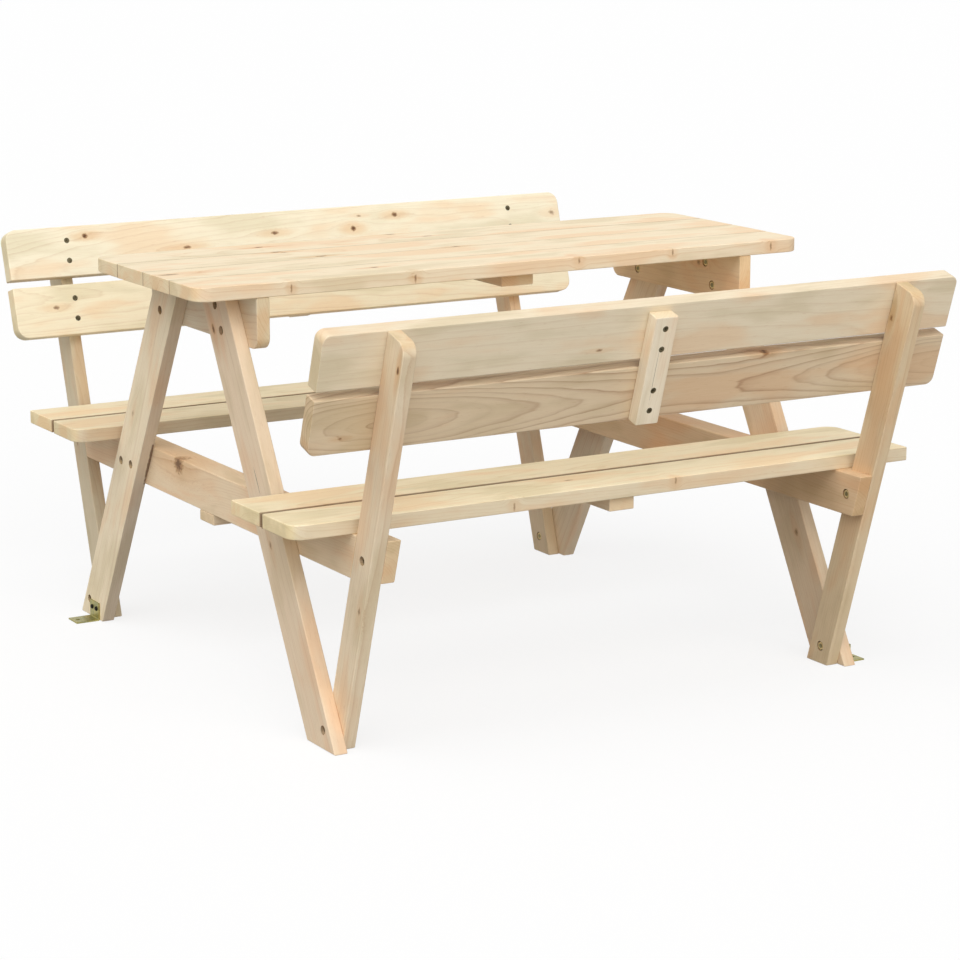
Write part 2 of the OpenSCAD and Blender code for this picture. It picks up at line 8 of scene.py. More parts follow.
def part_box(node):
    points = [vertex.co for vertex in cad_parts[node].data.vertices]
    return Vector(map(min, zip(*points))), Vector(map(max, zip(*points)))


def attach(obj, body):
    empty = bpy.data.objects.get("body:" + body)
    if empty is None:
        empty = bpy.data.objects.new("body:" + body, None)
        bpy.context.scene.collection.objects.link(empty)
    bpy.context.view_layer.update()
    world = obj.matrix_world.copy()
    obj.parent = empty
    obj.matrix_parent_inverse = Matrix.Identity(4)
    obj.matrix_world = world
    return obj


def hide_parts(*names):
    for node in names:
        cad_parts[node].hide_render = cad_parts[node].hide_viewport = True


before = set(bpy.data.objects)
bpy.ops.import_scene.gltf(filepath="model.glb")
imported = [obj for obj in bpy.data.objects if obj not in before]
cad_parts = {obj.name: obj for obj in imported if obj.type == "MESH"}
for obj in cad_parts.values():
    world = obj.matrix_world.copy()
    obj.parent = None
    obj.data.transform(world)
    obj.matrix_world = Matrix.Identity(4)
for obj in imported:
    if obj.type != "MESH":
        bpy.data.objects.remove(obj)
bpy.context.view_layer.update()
scene = bpy.context.scene
scene.view_settings.view_transform = "Standard"


# The camera stands to the left of the near bench and looks a little down on the table,
# with a long lens, as the photograph does.
CAMERA_PLACE = (-1.9134, -3.3478, 1.0745)
CAMERA_TILT = radians(12.506)
CAMERA_TURN = radians(30.247)
CAMERA_LENS = 109.66
CAMERA_SENSOR = 36
camera = bpy.data.objects.new("photo_camera", bpy.data.cameras.new("photo_camera"))
camera.data.sensor_width = CAMERA_SENSOR
camera.data.lens = CAMERA_LENS
camera.location = CAMERA_PLACE
camera.rotation_euler = (radians(90) - CAMERA_TILT, 0, -CAMERA_TURN)
scene.collection.objects.link(camera)
scene.camera = camera


# Table top: four planed pine boards, laid side by side with a hair's gap and screwed from below.
# The outer arrises are taken off and the joints are left nearly sharp, so the top reads as one panel.
MM = 0.001
ARRIS = 0.0015
ARRIS_STEPS = 3
JOINT_ARRIS = 0.0008
JOINT_STEPS = 2
ARRIS_TURN = radians(40)
FLAT_TURN = radians(1)
SHARP_TURN = radians(35)
WELD = 1e-6
BORE_EDGE = 0.0012
BORE_FACE = 45e-6
FACE_ON = (0.5, 0.95)
FINISHED = "_finished"


def planed(node, ease=ARRIS, tight=None):
    """A copy of a CAD solid with whole faces and rounded arrises; bores keep their crisp edges."""
    bm = bmesh.new()
    bm.from_mesh(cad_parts[node].data)
    bmesh.ops.remove_doubles(bm, verts=bm.verts, dist=WELD)
    bmesh.ops.dissolve_limit(bm, angle_limit=FLAT_TURN, verts=bm.verts, edges=bm.edges)

    drilled = bm.faces.layers.float.new("drilled")
    for face in bm.faces:
        narrow = any(e.calc_length() <= BORE_EDGE for e in face.edges)
        face[drilled] = float(narrow and len(face.edges) <= 4 and face.calc_area() < BORE_FACE)

    def ease_edges(at_joint, width, steps):
        edges = [e for e in bm.edges if e.is_manifold and e.is_convex and e.calc_face_angle() > ARRIS_TURN
                 and e.calc_length() > BORE_EDGE
                 and at_joint == (tight is not None and all(tight(v.co) for v in e.verts))]
        bmesh.ops.bevel(bm, geom=edges, offset=width, segments=steps, profile=0.5,
                        affect="EDGES", material=-1, clamp_overlap=False)

    ease_edges(False, ease, ARRIS_STEPS)
    if tight is not None:
        ease_edges(True, JOINT_ARRIS, JOINT_STEPS)
    for face in bm.faces:
        face.smooth = True
    mesh = bpy.data.meshes.new(node + FINISHED)
    bm.to_mesh(mesh)
    bm.free()
    mesh.set_sharp_from_angle(angle=SHARP_TURN)
    piece = bpy.data.objects.new(node + FINISHED, mesh)
    scene.collection.objects.link(piece)
    even = piece.modifiers.new("even_faces", "WEIGHTED_NORMAL")
    even.keep_sharp = True
    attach(piece, "root")
    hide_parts(node)
    return piece


def tint(r, g, b):
    """A colour as a paint chart gives it, 0 to 255, made linear for a shader."""
    parts = [c / 255 for c in (r, g, b)]
    return tuple(c / 12.92 if c <= 0.04045 else ((c + 0.055) / 1.055) ** 2.4 for c in parts) + (1.0,)


def put(tree, kind, links=None, **settings):
    """A shader node with its settings, and its inputs linked or set."""
    node = tree.nodes.new("ShaderNode" + kind)
    for key, value in settings.items():
        setattr(node, key, value)
    for key, value in (links or {}).items():
        if isinstance(value, bpy.types.NodeSocket):
            tree.links.new(value, node.inputs[key])
        else:
            node.inputs[key].default_value = value
    return node


def maths(tree, operation, *terms):
    node = put(tree, "Math", dict(enumerate(terms)), operation=operation)
    return node.outputs[0]


def vectors(tree, operation, *terms):
    node = put(tree, "VectorMath", dict(enumerate(terms)), operation=operation)
    return node.outputs["Value" if operation in ("LENGTH", "DOT_PRODUCT") else "Vector"]


def scaled(tree, vector, factor):
    """A vector times a number, which may be a socket."""
    return put(tree, "VectorMath", {"Vector": vector, "Scale": factor}, operation="SCALE").outputs["Vector"]


def ramp(tree, value, low, high, out_low=0.0, out_high=1.0, curve="SMOOTHSTEP"):
    node = put(tree, "MapRange", {"Value": value, "From Min": low, "From Max": high,
                                  "To Min": out_low, "To Max": out_high}, interpolation_type=curve)
    return node.outputs["Result"]


def blend_colours(tree, mode, factor, first, second):
    node = tree.nodes.new("ShaderNodeMix")
    node.data_type = "RGBA"
    node.blend_type = mode
    for socket, value in ((node.inputs[0], factor), (node.inputs[6], first), (node.inputs[7], second)):
        if isinstance(value, bpy.types.NodeSocket):
            tree.links.new(value, socket)
        else:
            socket.default_value = value
    return node.outputs[2]


def noise(tree, vector, scale, detail=2.0, rough=0.5):
    node = put(tree, "TexNoise", {"Vector": vector, "Scale": scale, "Detail": detail, "Roughness": rough})
    return node.outputs["Fac"]


def grained(tree, point, waves, detail, rough):
    """Noise with so many waves a millimetre along the grain, across it and into the board."""
    return noise(tree, vectors(tree, "MULTIPLY", point, waves), 1.0, detail, rough)


def swing(tree, value, width):
    """A noise value turned into a swing of the given width about nothing."""
    return maths(tree, "MULTIPLY", maths(tree, "SUBTRACT", value, 0.5), width)


def facing(tree, direction):
    """One on the faces that look along a direction or against it, and nothing on the others."""
    normal = put(tree, "NewGeometry").outputs["Normal"]
    along = maths(tree, "ABSOLUTE", vectors(tree, "DOT_PRODUCT", normal, direction))
    return ramp(tree, along, *FACE_ON)


def group_tree(name, takes, gives):
    tree = bpy.data.node_groups.new(name, "ShaderNodeTree")
    for label, kind in takes:
        tree.interface.new_socket(label, in_out="INPUT", socket_type="NodeSocket" + kind)
    for label, kind in gives:
        tree.interface.new_socket(label, in_out="OUTPUT", socket_type="NodeSocket" + kind)
    return tree, tree.nodes.new("NodeGroupInput").outputs, tree.nodes.new("NodeGroupOutput").inputs


# The tree the boards were sawn from: rings about a pith that leans and bows past the board, in millimetres,
# pale early wood that darkens slowly to late wood and starts again sharply, and fibres along the grain.
# Each grain holds its waves a millimetre along, across and into the board, its detail and its roughness.
SWAY_GRAIN = ((0.008, 0.03, 0.03), 2.0, 0.45)
RIPPLE_GRAIN = ((0.02, 0.16, 0.16), 3.0, 0.55)
FIBRE_GRAIN = ((0.03, 1.7, 1.7), 4.0, 0.65)
CLOUD_GRAIN = ((0.006, 0.022, 0.022), 3.0, 0.5)
FLECK_GRAIN = ((0.09, 1.3, 1.3), 1.0, 0.4)
FLECK_SHOWS = (0.68, 0.76)
RIPPLE = 1.6
PACE_WAVES = 0.31
PACE = 2.6
YEAR_START = 0.10
YEAR_END = 0.25
YEAR_DARKENS = ((0.1, 0.0), (0.55, 0.08), (0.8, 0.45), (0.92, 1.0))
YEAR_STRENGTH = (0.2, 1.0, 0.12, 1.0)
growth, given, result = group_tree(
    "growth_rings",
    [("Point", "Vector"), ("Pith", "Vector"), ("Lean", "Vector"), ("Bow", "Vector"),
     ("Ring", "Float"), ("Wander", "Float"), ("Seed", "Vector")],
    [("Late", "Float"), ("Fibre", "Float"), ("Cloud", "Float"), ("Fleck", "Float")])
from_pith = vectors(growth, "SUBTRACT", given["Point"], given["Pith"])
run = put(growth, "SeparateXYZ", {0: from_pith}).outputs["X"]
leant = vectors(growth, "SUBTRACT", from_pith, scaled(growth, given["Lean"], run))
bowed = vectors(growth, "SUBTRACT", leant, scaled(growth, given["Bow"], maths(growth, "MULTIPLY", run, run)))
across = vectors(growth, "MULTIPLY", bowed, (0, 1, 1))
seeded = vectors(growth, "ADD", given["Point"], given["Seed"])
sway = swing(growth, grained(growth, seeded, *SWAY_GRAIN), given["Wander"])
ripple = swing(growth, grained(growth, seeded, *RIPPLE_GRAIN), RIPPLE)
radius = maths(growth, "ADD", vectors(growth, "LENGTH", across), maths(growth, "ADD", sway, ripple))
year = maths(growth, "DIVIDE", radius, given["Ring"])
pace = put(growth, "CombineXYZ", {0: maths(growth, "MULTIPLY", year, PACE_WAVES)}).outputs[0]
pace = noise(growth, vectors(growth, "ADD", pace, given["Seed"]), 1.0)
year = maths(growth, "ADD", year, maths(growth, "MULTIPLY", pace, PACE))
summer = put(growth, "ValToRGB", {0: maths(growth, "FRACT", year)})
summer.color_ramp.interpolation = "EASE"
summer.color_ramp.elements[0].color = (YEAR_START, YEAR_START, YEAR_START, 1)
summer.color_ramp.elements[1].color = (YEAR_END, YEAR_END, YEAR_END, 1)
for season, darkness in YEAR_DARKENS:
    stop = summer.color_ramp.elements.new(season)
    stop.color = (darkness, darkness, darkness, 1)
strong = put(growth, "CombineXYZ", {0: maths(growth, "FLOOR", year)}).outputs[0]
strong = put(growth, "TexWhiteNoise", {"Vector": strong}, noise_dimensions="3D").outputs["Value"]
strong = ramp(growth, strong, *YEAR_STRENGTH, "LINEAR")
growth.links.new(maths(growth, "MULTIPLY", summer.outputs["Color"], strong), result["Late"])
growth.links.new(grained(growth, seeded, *FIBRE_GRAIN), result["Fibre"])
growth.links.new(grained(growth, seeded, *CLOUD_GRAIN), result["Cloud"])
growth.links.new(ramp(growth, grained(growth, seeded, *FLECK_GRAIN), *FLECK_SHOWS), result["Fleck"])

# A knot is a branch that grew out of the pith: brown with a dark heart, a resin stain round it, and the grain
# parts to pass on both sides. A drying crack is the same with no stain and hardly any width, and a painted
# contact shadow is drawn as a broad one.
# The edges are told in reaches of the knot, from where a layer starts to where it is full.
RAGGED_WAVES = (0.22, 0.3, 0.3)
RAGGED_DETAIL = 2.0
RAGGED = 1.1
CORE_EDGE = (1.2, 0.7)
HEART_EDGE = (0.85, 0.25)
STAIN_STRETCH = (0.4, 1, 1)
STAIN_EDGE = (3.2, 0.7)
PARTING_EDGE = (4.5, 0.8)
branch, given, result = group_tree(
    "branch_knot",
    [("Point", "Vector"), ("Centre", "Vector"), ("Reach", "Vector"), ("Parting", "Float")],
    [("Point", "Vector"), ("Core", "Float"), ("Heart", "Float"), ("Stain", "Float")])
offset = vectors(branch, "SUBTRACT", given["Point"], given["Centre"])
ragged = put(branch, "TexNoise", {"Vector": vectors(branch, "MULTIPLY", given["Point"], RAGGED_WAVES),
                                  "Scale": 1.0, "Detail": RAGGED_DETAIL}).outputs["Color"]
ragged = scaled(branch, vectors(branch, "SUBTRACT", ragged, (0.5, 0.5, 0.5)), RAGGED)
reached = vectors(branch, "ADD", vectors(branch, "DIVIDE", offset, given["Reach"]), ragged)
distance = vectors(branch, "LENGTH", reached)
branch.links.new(ramp(branch, distance, *CORE_EDGE), result["Core"])
branch.links.new(ramp(branch, distance, *HEART_EDGE), result["Heart"])
stretched = vectors(branch, "LENGTH", vectors(branch, "MULTIPLY", reached, STAIN_STRETCH))
branch.links.new(ramp(branch, stretched, *STAIN_EDGE, curve="SMOOTHERSTEP"), result["Stain"])
pull = ramp(branch, stretched, *PARTING_EDGE, curve="SMOOTHERSTEP")
pull = maths(branch, "MULTIPLY", pull, given["Parting"])
pull = put(branch, "CombineXYZ", {1: pull, 2: pull}).outputs[0]
parted = vectors(branch, "SUBTRACT", given["Point"], vectors(branch, "MULTIPLY", offset, pull))
branch.links.new(parted, result["Point"])

# Bare pine, planed and not painted: over its early and late wood lie pinkish and greyish patches, fibres,
# flecks, end grain, knots and cracks, in layers. The board sides and the edges along the joints get painted
# shade, the bore walls rough end grain with painted shade on it, and one broad streak is a painted contact
# shadow. Most are multiplied in, so they only deepen the colour below.
ROSY = tint(253, 241, 232)
ROSY_CLOUD = (0.5, 0.66)
GREYED = tint(242, 241, 235)
GREYED_CLOUD = (0.5, 0.36)
FIBRES = tint(220, 200, 172)
FIBRES_SHOW = (0.3, 0.7, 0.0, 0.22)
FLECKS = tint(200, 160, 118)
FLECK_DEPTH = 0.22
END_GRAIN = tint(248, 243, 232)
# Painted shade: the faces along a board's sides are darkened, for the shade in the gaps between boards and on
# narrow faces that stand in shade.
SIDE_PAINTED_SHADE = tint(228, 225, 229)
RESIN = tint(232, 186, 128)
RESIN_DEPTH = 0.45
KNOT_WOOD = tint(166, 118, 72)
KNOT_DEPTH = 0.85
KNOT_HEART = tint(88, 58, 38)
KNOT_PARTING = 0.8
# Cracks are dark, and so is the painted contact shadow drawn among them.
CRACK_AND_PAINTED_SHADE = tint(98, 66, 42)
STREAK_SINK = 4.0
# The bore walls are darkened partly for their rough end grain and partly as painted shade inside the bores.
BORE_GRAIN_AND_SHADE = tint(152, 128, 90)
BORE_GRAIN_AND_SHADE_DEPTH = 0.6
# Painted shade: the edges along a joint between two boards are darkened, where the gap between them lies in
# shade.
JOINT_PAINTED_SHADE = tint(132, 98, 66)
JOINT_STARTS = 1.6
JOINT_FULL = 0.4
FIBRE_ROUGHNESS = (0.25, 0.75, 0.52, 0.68)
LATE_SHINE = 0.07
FIBRE_RELIEF = 0.6
RELIEF_STRENGTH = 0.35
RELIEF_HEIGHT = 0.2 * MM
SEED_STEPS = (37.0, 11.0, 5.0)


def grow_knots(tree, place, knots):
    """Where the grain runs once it has parted round the knots, and how much core, heart and stain shows."""
    point = place
    shown = {"Core": 0.0, "Heart": 0.0, "Stain": 0.0}
    for spot, reach, depth in knots:
        knot = put(tree, "Group", {"Point": point, "Centre": spot, "Reach": reach, "Parting": KNOT_PARTING},
                   node_tree=branch).outputs
        point = knot["Point"]
        shown = {layer: maths(tree, "MAXIMUM", so_far, maths(tree, "MULTIPLY", knot[layer], depth))
                 for layer, so_far in shown.items()}
    return point, shown


def pine(piece, along, face, early, late, pith, lean=(0, 0), bow=(0, 0), ring=3.4, wander=7.0, seed=0.0,
         contrast=0.55, knots=(), cracks_and_painted_shade=(), joints=(), painted_joint_shade=0.65, cast=(1, 1, 1), painted_side_shade=0.0):
    """The wood of one board, in millimetres from its middle: along the grain, across it, and out of its face.

    A knot or a crack is its middle, how far it reaches in each direction, and how dark it is. The joints
    are the edges that lie against another board, -1 and 1 for the two sides across the grain, and painted
    shade darkens the wood along them.
    """
    material = bpy.data.materials.new(piece.name + "_pine")
    material.use_nodes = True
    tree = material.node_tree
    shader = tree.nodes["Principled BSDF"]
    u = Vector(along).normalized()
    w = Vector(face).normalized()
    v = w.cross(u)
    lowest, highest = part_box(piece.name.removesuffix(FINISHED))
    place = put(tree, "Mapping", {"Vector": put(tree, "TexCoord").outputs["Object"],
                                  "Location": (lowest + highest) / 2,
                                  "Rotation": Matrix((u, v, w)).transposed().to_euler(),
                                  "Scale": (MM, MM, MM)}, vector_type="TEXTURE").outputs["Vector"]
    point, knot = grow_knots(tree, place, knots)
    wood = put(tree, "Group", {"Point": point, "Pith": pith, "Lean": (0, *lean), "Bow": (0, *bow),
                               "Ring": ring, "Wander": wander, "Seed": [seed * step for step in SEED_STEPS]},
               node_tree=growth).outputs
    dark = maths(tree, "MULTIPLY", wood["Late"], contrast)
    early, late = (tint(*(part * k for part, k in zip(colour, cast))) for colour in (early, late))
    layers = [
        ("MIX", dark, late),
        ("MULTIPLY", ramp(tree, wood["Cloud"], *ROSY_CLOUD), ROSY),
        ("MULTIPLY", ramp(tree, wood["Cloud"], *GREYED_CLOUD), GREYED),
        ("MULTIPLY", ramp(tree, wood["Fibre"], *FIBRES_SHOW, "LINEAR"), FIBRES),
        ("MULTIPLY", maths(tree, "MULTIPLY", wood["Fleck"], FLECK_DEPTH), FLECKS),
        ("MULTIPLY", facing(tree, u), END_GRAIN),
    ]
    # Painted shade on the faces that look across the grain.
    if painted_side_shade:
        layers.append(("MULTIPLY", maths(tree, "MULTIPLY", facing(tree, v), painted_side_shade), SIDE_PAINTED_SHADE))
    if knots:
        layers += [("MULTIPLY", maths(tree, "MULTIPLY", knot["Stain"], RESIN_DEPTH), RESIN),
                   ("MIX", maths(tree, "MULTIPLY", knot["Core"], KNOT_DEPTH), KNOT_WOOD),
                   ("MIX", knot["Heart"], KNOT_HEART)]
    height = maths(tree, "ADD", maths(tree, "MULTIPLY", wood["Fibre"], FIBRE_RELIEF), dark)
    # Real drying cracks, and a painted contact shadow drawn the same way, darken the wood and sink it.
    for spot, reach, depth in cracks_and_painted_shade:
        split = put(tree, "Group", {"Point": place, "Centre": spot, "Reach": reach, "Parting": 0.0},
                    node_tree=branch)
        dark_streak = maths(tree, "MULTIPLY", split.outputs["Core"], depth)
        layers.append(("MIX", dark_streak, CRACK_AND_PAINTED_SHADE))
        height = maths(tree, "SUBTRACT", height, maths(tree, "MULTIPLY", dark_streak, STREAK_SINK))
    # The walls of the bores: rough end grain with painted shade on it.
    bored = put(tree, "Attribute", attribute_name="drilled").outputs["Fac"]
    layers.append(("MULTIPLY", maths(tree, "MULTIPLY", bored, BORE_GRAIN_AND_SHADE_DEPTH), BORE_GRAIN_AND_SHADE))
    sideways = [vertex.co.dot(v) for vertex in piece.data.vertices]
    half = (max(sideways) - min(sideways)) / 2 / MM
    side = put(tree, "SeparateXYZ", {0: place}).outputs["Y"]
    # Painted shade along each joint: full on the joint face, fading out 1.6 mm onto the board.
    for edge in joints:
        shade = ramp(tree, side, edge * (half - JOINT_STARTS), edge * (half - JOINT_FULL), 0.0, painted_joint_shade)
        layers.append(("MULTIPLY", shade, JOINT_PAINTED_SHADE))
    colour = early
    for mode, factor, shade in layers:
        colour = blend_colours(tree, mode, factor, colour, shade)
    tree.links.new(colour, shader.inputs["Base Color"])
    rough = ramp(tree, wood["Fibre"], *FIBRE_ROUGHNESS, "LINEAR")
    rough = maths(tree, "SUBTRACT", rough, maths(tree, "MULTIPLY", dark, LATE_SHINE))
    tree.links.new(rough, shader.inputs["Roughness"])
    relief = put(tree, "Bump", {"Strength": RELIEF_STRENGTH, "Distance": RELIEF_HEIGHT, "Height": height})
    tree.links.new(relief.outputs["Normal"], shader.inputs["Normal"])
    shader.inputs["IOR"].default_value = 1.45
    shader.inputs["Specular IOR Level"].default_value = 0.3
    piece.data.materials.clear()
    piece.data.materials.append(material)


LENGTHWAYS = (1, 0, 0)
CROSSWAYS = (0, 1, 0)
UPWARD = (0, 0, 1)
DOWNWARD = (0, 0, -1)
TOP_EARLY = (251, 236, 206)
TOP_LATE = (228, 196, 150)
NEAR_A_JOINT = 0.6 * MM
top_boards = {
    "table_board_1": dict(
        pith=(0, 18, -46), lean=(0.01, 0.02), bow=(0, 4e-5), seed=1.0,
        knots=[((-180, 10, 9), (7, 2.6, 30), 0.9), ((-322, -39, 0), (1.6, 14, 6), 0.5),
               ((-148, -39, -1), (2, 12, 6), 0.5), ((95, -39, 4), (1.8, 12, 5), 0.45),
               ((241, -39, 4), (1.6, 10, 5), 0.45), ((400, -39, 1), (1.8, 10, 6), 0.45)]),
    "table_board_2": dict(
        pith=(60, -22, -38), lean=(-0.02, 0.03), bow=(0, -5e-5), seed=2.3,
        knots=[((-431, 3, 9), (16, 5, 30), 0.55)]),
    "table_board_3": dict(
        pith=(-80, 12, -52), lean=(0.02, -0.03), bow=(0, 6e-5), seed=3.1,
        knots=[((-192, -27, 9), (8, 3, 30), 0.95), ((-227, 35, 9), (8, 2.8, 30), 1.0),
               ((-219, 31, 9), (6, 2.4, 30), 0.9), ((3, -36, 9), (7, 2.4, 30), 0.8)]),
    "table_board_4": dict(
        pith=(40, -8, -60), lean=(0.01, 0.03), bow=(0, -4e-5), seed=4.7,
        knots=[((-227, 8, 9), (8, 3, 30), 0.95), ((-15, 33, 9), (10, 2.4, 30), 0.7),
               ((21, -7, 9), (9, 2.4, 30), 0.7)]),
}
top_edge = max(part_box(name)[1].y for name in top_boards)
for name, wood in top_boards.items():
    edges = {side: corner.y for side, corner in zip((-1, 1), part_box(name))}
    met = {side: y for side, y in edges.items() if top_edge - abs(y) > NEAR_A_JOINT}
    board = planed(name, tight=lambda co, at=met: any(abs(co.y - y) < NEAR_A_JOINT for y in at.values()))
    # Painted shade darkens the board sides and the edges along the joints.
    pine(board, LENGTHWAYS, UPWARD, TOP_EARLY, TOP_LATE, joints=met, painted_joint_shade=0.4, painted_side_shade=0.45, **wood)


# Crossbars under the two ends of the top: planed pine with rounded lower corners. The top is screwed to
# them from below, and each carries the two legs of its end on bolts.
FRAME_EARLY = (245, 224, 194)
FRAME_LATE = (220, 186, 150)
for end, name, cast in ((-1, "table_crossbar_left", (0.95, 0.98, 1)),
                        (1, "table_crossbar_right", (1.02, 0.99, 0.95))):
    crossbar = planed(name)
    pine(crossbar, CROSSWAYS, (end, 0, 0), FRAME_EARLY, FRAME_LATE, pith=(0, 30 * end, -55),
         lean=(0.02, 0.03), seed=5.0 + end, knots=[((-60, 12, 0), (5, 4, 30), 0.5)], cast=cast)

# Batten under the middle of the top: a plain planed lath, screwed up into each of the four boards.
# It keeps them level between the crossbars.
batten = planed("table_batten")
pine(batten, CROSSWAYS, DOWNWARD, FRAME_EARLY, FRAME_LATE, pith=(0, 24, -40), lean=(0.02, 0.02), seed=7.4)


# Slanted legs, one at each corner on the outside of the frame: planed pine, sawn flat for the floor and
# for the underside of the top. They are a little pinker than the top, with straight grain.
LEG_SLANT = radians(29)
legs = (
    ("leg_near_left", -1, -1, dict(
        pith=(0, 70, -34), seed=8.2, cast=(0.975, 0.97, 0.97),
        knots=[((250, 18, 9), (7, 3.5, 30), 0.75), ((-38, 4, 9), (6, 3, 30), 0.45)],
        cracks_and_painted_shade=[((43, -1, 9), (19, 0.7, 9), 0.8)])),
    ("leg_near_right", 1, -1, dict(
        pith=(0, 64, 30), seed=9.6, cast=(0.96, 0.95, 0.94), knots=[((-120, 10, 0), (6, 4, 30), 0.5)])),
    ("leg_far_left", -1, 1, dict(
        # Its narrow faces carry the full painted shade.
        pith=(0, -58, -40), seed=10.9, cast=(1.02, 1.045, 1.05), painted_side_shade=1,
        # The broad crack here is a painted contact shadow where the bearer meets the leg.
        knots=[((60, 12, 0), (5, 3, 30), 0.35)], cracks_and_painted_shade=[((8, -32, -7), (40, 7, 2), 0.8)])),
    ("leg_far_right", 1, 1, dict(
        pith=(0, -66, 34), seed=12.3, knots=[((110, -8, 0), (6, 4, 30), 0.5)])),
)
for name, end, side, wood in legs:
    leg = planed(name)
    up = (0, -side * sin(LEG_SLANT), cos(LEG_SLANT))
    pine(leg, up, (end, 0, 0), FRAME_EARLY, FRAME_LATE, lean=(0.03, 0.02), wander=6.0, **wood)


# Back posts: they share the legs' feet, lie inside them, and lean out past the bearers to carry the
# backrests. Narrow planed pine with the upper outer corner rounded.
POST_SLANT = radians(17.5)
posts = (
    ("back_post_near_left", -1, -1, dict(
        pith=(0, 56, -30), seed=13.7, cast=(0.98, 0.99, 0.99),
        knots=[((237, -17.7, 9), (6, 2.6, 30), 0.85), ((-80, -14.7, 9), (6, 3, 30), 0.45)])),
    ("back_post_near_right", 1, -1, dict(
        pith=(0, -46, 30), seed=15.1, cast=(0.94, 0.93, 0.89), knots=[((225, -10.3, 0), (5, 3, 30), 0.7)])),
    ("back_post_far_left", -1, 1, dict(
        pith=(0, 56, 28), seed=16.4, cast=(0.89, 0.91, 0.9), knots=[((-30, 9.7, 0), (5, 3, 30), 0.4)])),
    ("back_post_far_right", 1, 1, dict(
        pith=(0, -68, -36), seed=17.8, cast=(0.98, 0.97, 0.95), knots=[((90, 4.3, 0), (5, 3, 30), 0.4)])),
)
for name, end, side, wood in posts:
    post = planed(name)
    up = (0, side * sin(POST_SLANT), cos(POST_SLANT))
    pine(post, up, (end, 0, 0), FRAME_EARLY, FRAME_LATE, lean=(0.02, 0.03), wander=6.0, **wood)


# Seat bearers: the two thickest pine bars, sawn square, right across below both benches and bolted to the
# legs. Their ends are notched for the posts.
bearers = (
    ("seat_bearer_left", -1, dict(
        pith=(0, 60, 44), seed=19.2, cast=(1, 0.99, 0.97),
        knots=[((84, -20, 17), (15, 13, 18), 0.75), ((-168, 16, 17), (12, 4, 8), 0.3)])),
    ("seat_bearer_right", 1, dict(
        # Its darker cast is partly its own tone and partly painted shade, for the shade under the seat.
        pith=(0, -56, -50), seed=20.5, cast=(0.93, 0.88, 0.82), knots=[((-120, -10, -17), (8, 6, 12), 0.5)])),
)
for name, end, wood in bearers:
    bearer = planed(name)
    pine(bearer, CROSSWAYS, (end, 0, 0), FRAME_EARLY, FRAME_LATE, lean=(0.02, 0.03), **wood)

# Stretcher: one flat planed lath along the middle, under the two bearers, screwed to each from below.
# It stiffens the frame along its length.
stretcher = planed("stretcher")
pine(stretcher, LENGTHWAYS, UPWARD, FRAME_EARLY, FRAME_LATE, pith=(0, 40, -30), lean=(0.02, 0.03), seed=22.0,
     knots=[((-210, 6, 0), (6, 4, 30), 0.5)])


# Seats: two boards of yellower pine on each side with a gap for water between them, screwed from below.
# The free corner at one end of each board is rounded, at opposite ends on the two boards.
SEAT_EARLY = (254, 240, 205)
SEAT_LATE = (232, 202, 150)
seats = {
    "seat_near_outer": dict(
        pith=(0, 10, -70), lean=(0.01, -0.02), bow=(0, 3e-5), seed=23.3, joints=[1],
        knots=[((-149, -39, -2), (1.8, 12, 6), 0.4), ((85, -39, 4), (1.8, 10, 5), 0.4),
               ((-40, 12, 9), (7, 2, 30), 0.5)]),
    "seat_near_inner": dict(
        pith=(60, -20, -64), lean=(0.02, 0.02), bow=(0, -3e-5), seed=24.9, joints=[-1],
        knots=[((-260, -6, 9), (7, 2, 30), 0.6)]),
    "seat_far_inner": dict(
        pith=(-40, 14, -66), lean=(0.02, 0.02), bow=(0, 3e-5), seed=26.2, joints=[1],
        cast=(0.96, 0.96, 0.965), knots=[((140, 4, 9), (6, 2, 30), 0.5)]),
    "seat_far_outer": dict(
        pith=(0, -16, -68), lean=(0.01, -0.02), bow=(0, -3e-5), seed=27.6, joints=[-1],
        knots=[((-300, 8, 9), (6, 2, 30), 0.5)]),
}
for name, wood in seats.items():
    seat = planed(name)
    # The board sides carry painted shade, which darkens the gap between the two boards.
    pine(seat, LENGTHWAYS, UPWARD, SEAT_EARLY, SEAT_LATE, contrast=0.5, painted_side_shade=0.8, **wood)

# Seat battens: a short planed lath under the middle of each seat, across the grain of its two boards.
# Four screws from below hold the boards level on it.
for side, name in ((-1, "seat_batten_near"), (1, "seat_batten_far")):
    batten = planed(name)
    pine(batten, CROSSWAYS, DOWNWARD, FRAME_EARLY, FRAME_LATE, pith=(0, 22, -34), lean=(0.02, 0.02),
         seed=29.0 + side)


